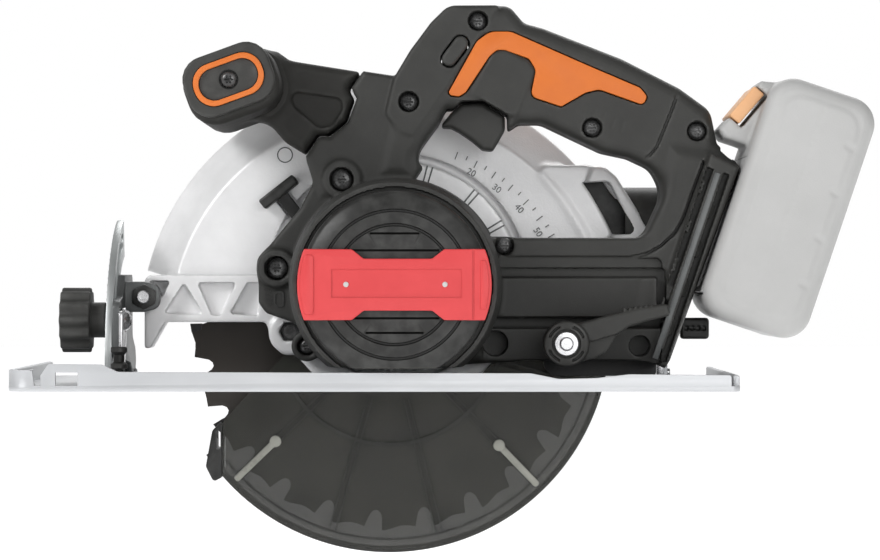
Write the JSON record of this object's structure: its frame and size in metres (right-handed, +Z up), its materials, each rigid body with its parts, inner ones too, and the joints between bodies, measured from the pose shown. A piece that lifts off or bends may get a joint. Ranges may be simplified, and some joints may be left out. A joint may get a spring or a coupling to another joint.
{
  "type": "circular saw",
  "caption": "Cordless circular saw with tilting base, swinging lower blade guard, trigger handle, front handle and slide-on battery.",
  "frame": {"origin": "on the sole of the base, under the blade axis, on the handle mid-plane", "axes": "+X from the nose towards the battery, +Y towards the blade side, +Z up"},
  "size_m": [0.3753, 0.1594, 0.2462],
  "materials": {
    "black_plastic": "moulded black plastic with a fine spark texture",
    "grip_rubber": "dark grey soft overmould",
    "orange_plastic": "satin orange overmould",
    "red_plastic": "satin red plastic",
    "cast_alloy": "die-cast alloy, lightly shot-blasted",
    "base_alloy": "pressed alloy sheet, satin",
    "bright_steel": "zinc-plated steel",
    "dark_steel": "dark grey painted steel",
    "smoked_plastic": "smoked see-through plastic",
    "coated_steel": "dark low-friction coating",
    "winding": "enamelled copper and laminated steel",
    "circuit_board": "green circuit board",
    "battery_grey": "pale grey moulded plastic",
    "battery_accent": "pale orange plastic",
    "cell_wrap": "shrink-wrapped cells"
  },
  "bodies": {
    "saw": {"housing_left": "black_plastic", "housing_right": "black_plastic", "front_handle": "grip_rubber", "front_handle_cap": "black_plastic", "front_handle_ring": "orange_plastic", "grip_inlay_left": "orange_plastic", "grip_inlay_right": "orange_plastic", "motor_end_cap": "black_plastic", "motor_cover_band": "red_plastic", "upper_guard": "cast_alloy", "dust_port": "black_plastic", "spindle_bearing": "bright_steel", "motor_bearing_front": "bright_steel", "motor_bearing_rear": "bright_steel", "stator": "winding", "switch_module": "black_plastic", "controller_board": "circuit_board", "terminal_block": "black_plastic", "depth_bolt": "bright_steel", "housing_screw_grip": "dark_steel", "housing_screw_foot": "dark_steel", "housing_screw_neck": "dark_steel", "housing_screw_collar": "dark_steel", "housing_screw_rear": "dark_steel", "housing_screw_front": "dark_steel"},
    "blade_set": {"blade": "coated_steel", "inner_flange": "bright_steel", "outer_flange": "bright_steel", "spindle": "bright_steel", "blade_bolt": "dark_steel", "output_gear": "bright_steel"},
    "rotor": {"rotor_shaft": "bright_steel", "rotor_core": "dark_steel", "pinion": "bright_steel", "fan": "black_plastic"},
    "lower_guard": {"lower_guard": "smoked_plastic", "guard_bumper": "black_plastic", "guard_spring": "bright_steel"},
    "spindle_lock": {"spindle_lock": "black_plastic"},
    "trigger": {"trigger": "black_plastic"},
    "lock_off": {"lock_off_button": "black_plastic"},
    "battery": {"battery_case": "battery_grey", "battery_cells": "cell_wrap", "battery_rail_plate": "battery_grey"},
    "release": {"battery_release": "battery_accent"},
    "depth_frame": {"front_bracket": "dark_steel", "depth_quadrant": "bright_steel", "rear_bracket": "bright_steel", "bevel_bolt": "bright_steel", "pivot_bolt": "bright_steel"},
    "base": {"base_plate": "base_alloy", "bevel_quadrant": "base_alloy", "bevel_pin_front": "bright_steel", "bevel_pin_rear": "bright_steel"},
    "bevel_knob": {"bevel_knob": "black_plastic"},
    "depth_lever": {"depth_lever": "black_plastic"},
    "guide_screw": {"guide_screw": "black_plastic"},
    "hex_key": {"hex_key": "dark_steel"}
  },
  "joints": [
    {"name": "blade_spin", "type": "hinge", "parent": "saw", "child": "blade_set", "pos_m": [0, 0.048, 0.024], "axis": [0, 1, 0], "continuous": true},
    {"name": "rotor_spin", "type": "hinge", "parent": "saw", "child": "rotor", "pos_m": [0.004, 0, 0.04563], "axis": [0, 1, 0], "continuous": true},
    {"name": "lower_guard_swing", "type": "hinge", "parent": "saw", "child": "lower_guard", "pos_m": [0, 0.04, 0.024], "axis": [0, -1, 0], "range_deg": [0, 125], "stiffness_Nm_per_rad": 0.06, "springref_deg": -68.75},
    {"name": "spindle_lock_press", "type": "slide", "parent": "saw", "child": "spindle_lock", "axis": [0.6159, 0, -0.7878], "range_m": [0, 0.0035], "stiffness_N_per_m": 400, "springref_m": -0.003},
    {"name": "trigger_pull", "type": "hinge", "parent": "saw", "child": "trigger", "pos_m": [0.028, 0, 0.121], "axis": [0, -1, 0], "range_deg": [0, 10], "stiffness_Nm_per_rad": 0.5, "springref_deg": -8.59},
    {"name": "lock_off_press", "type": "slide", "parent": "saw", "child": "lock_off", "axis": [0, 1, 0], "range_m": [0, 0.002], "stiffness_N_per_m": 300, "springref_m": -0.003},
    {"name": "battery_slide", "type": "slide", "parent": "saw", "child": "battery", "axis": [0.3206, 0, 0.9472], "range_m": [0, 0.07]},
    {"name": "release_press", "type": "slide", "parent": "battery", "child": "release", "axis": [0.7604, 0, -0.6495], "range_m": [0, 0.003], "stiffness_N_per_m": 400, "springref_m": -0.002},
    {"name": "depth_adjust", "type": "hinge", "parent": "saw", "child": "depth_frame", "pos_m": [-0.1092, 0.02, 0.04], "axis": [0, 1, 0], "range_deg": [0, 19]},
    {"name": "bevel_tilt", "type": "hinge", "parent": "depth_frame", "child": "base", "pos_m": [-0.122, 0.048, 0.005], "axis": [1, 0, 0], "range_deg": [0, 45]},
    {"name": "bevel_knob_turn", "type": "hinge", "parent": "depth_frame", "child": "bevel_knob", "pos_m": [-0.137, -0.012, 0.0299], "axis": [1, 0, 0], "range_deg": [0, 270]},
    {"name": "depth_lever_turn", "type": "hinge", "parent": "saw", "child": "depth_lever", "pos_m": [0.078, -0.044, 0.02], "axis": [0, -1, 0], "range_deg": [0, 80]},
    {"name": "guide_screw_turn", "type": "hinge", "parent": "base", "child": "guide_screw", "pos_m": [-0.1165, -0.035, 0.012], "axis": [0, 0, 1], "range_deg": [0, 360]},
    {"name": "hex_key_pull", "type": "slide", "parent": "saw", "child": "hex_key", "axis": [0, 1, 0], "range_m": [0, 0.03]}
  ],
  "couplings": [
    {"joint": "rotor_spin", "follows": "blade_spin", "ratio": -3.8889}
  ]
}
